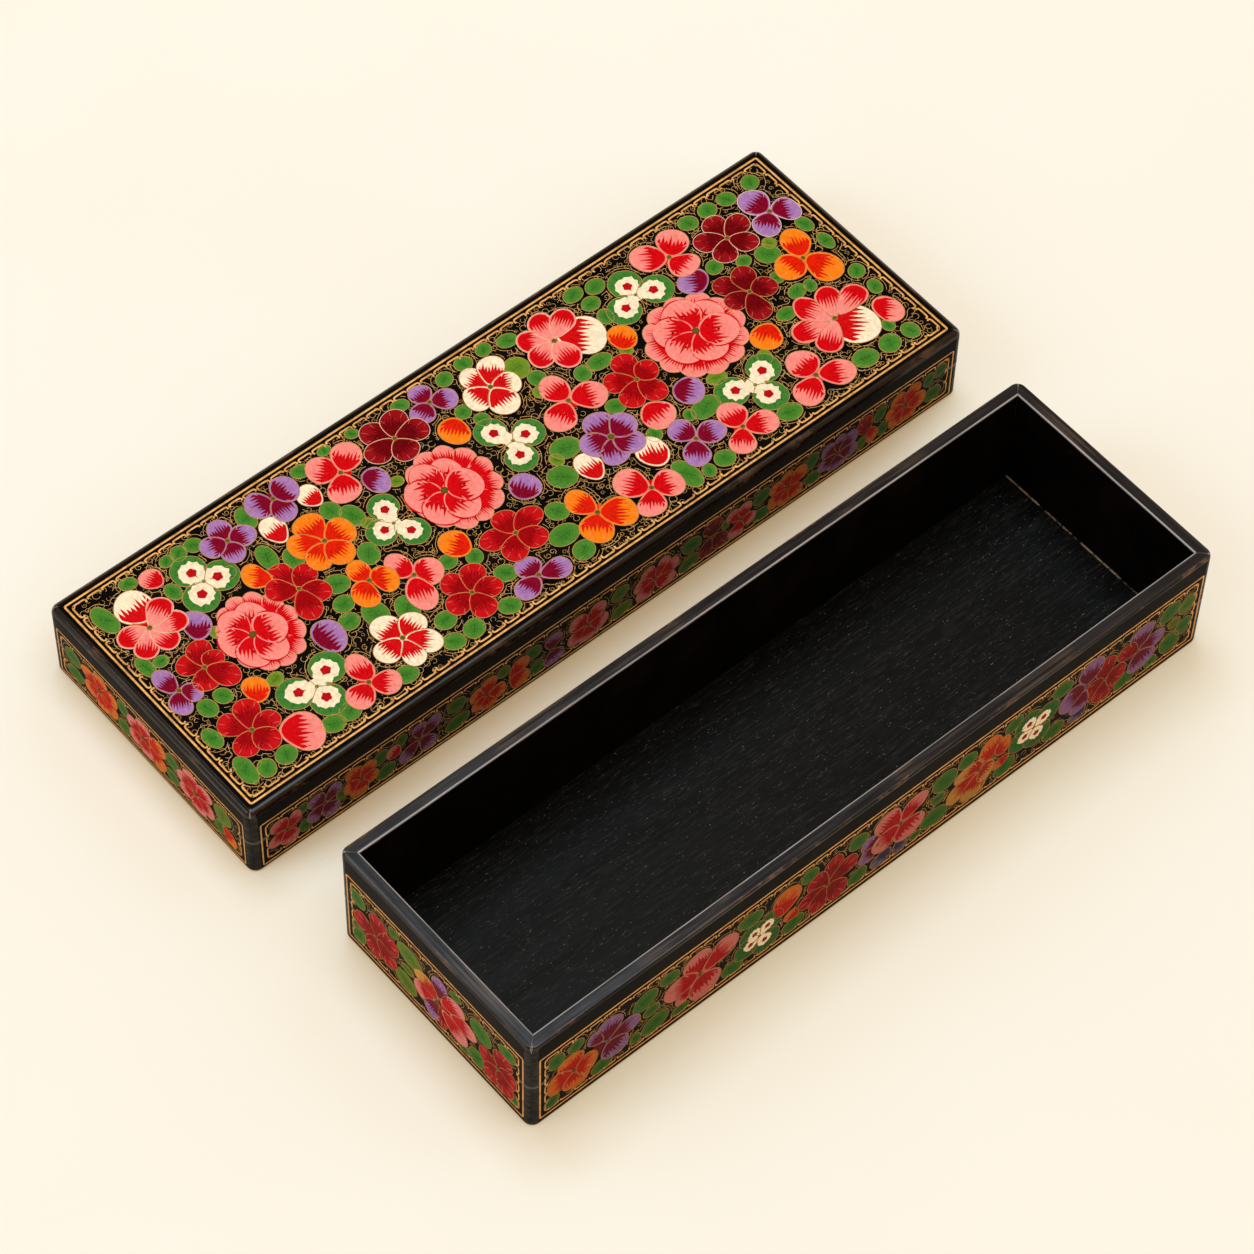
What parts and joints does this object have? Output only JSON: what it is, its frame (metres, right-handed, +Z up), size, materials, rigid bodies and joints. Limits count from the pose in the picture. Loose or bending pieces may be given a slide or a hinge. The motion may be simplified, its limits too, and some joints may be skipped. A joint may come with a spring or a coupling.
{
  "type": "lidded lacquer pen box",
  "caption": "Long low lacquered wooden box: open mitred base and slip-over lid lying beside it, painted with a traditional flower pattern.",
  "frame": {"origin": "middle of the base's underside, on the surface that the base stands on", "axes": "+X along the box; +Y across it, from the base towards the lid that lies beside it; +Z up"},
  "size_m": [0.276, 0.211, 0.043],
  "materials": {
    "lacquered_wall": "black gloss lacquer on wood, worn grey along the arrises",
    "corner_key": "black lacquered slip of wood",
    "floor_lacquer": "thin satin black lacquer over visible grain",
    "painted_panel": "flowers in body colour and gold line on black, under clear gloss lacquer"
  },
  "bodies": {
    "base": {"base_front_wall": "lacquered_wall", "base_right_end": "lacquered_wall", "base_back_wall": "lacquered_wall", "base_left_end": "lacquered_wall", "base_key_front_left": "corner_key", "base_key_front_right": "corner_key", "base_key_back_right": "corner_key", "base_key_back_left": "corner_key", "base_floor_board": "floor_lacquer"},
    "lid": {"lid_front_side": "lacquered_wall", "lid_right_end": "lacquered_wall", "lid_back_side": "lacquered_wall", "lid_left_end": "lacquered_wall", "lid_key_front_left": "corner_key", "lid_key_front_right": "corner_key", "lid_key_back_right": "corner_key", "lid_key_back_left": "corner_key", "lid_top_panel": "painted_panel"}
  },
  "joints": [
    {"name": "lid_lift", "type": "slide", "parent": "base", "child": "lid", "axis": [0, 0, 1], "range_m": [0, 0.053]}
  ]
}
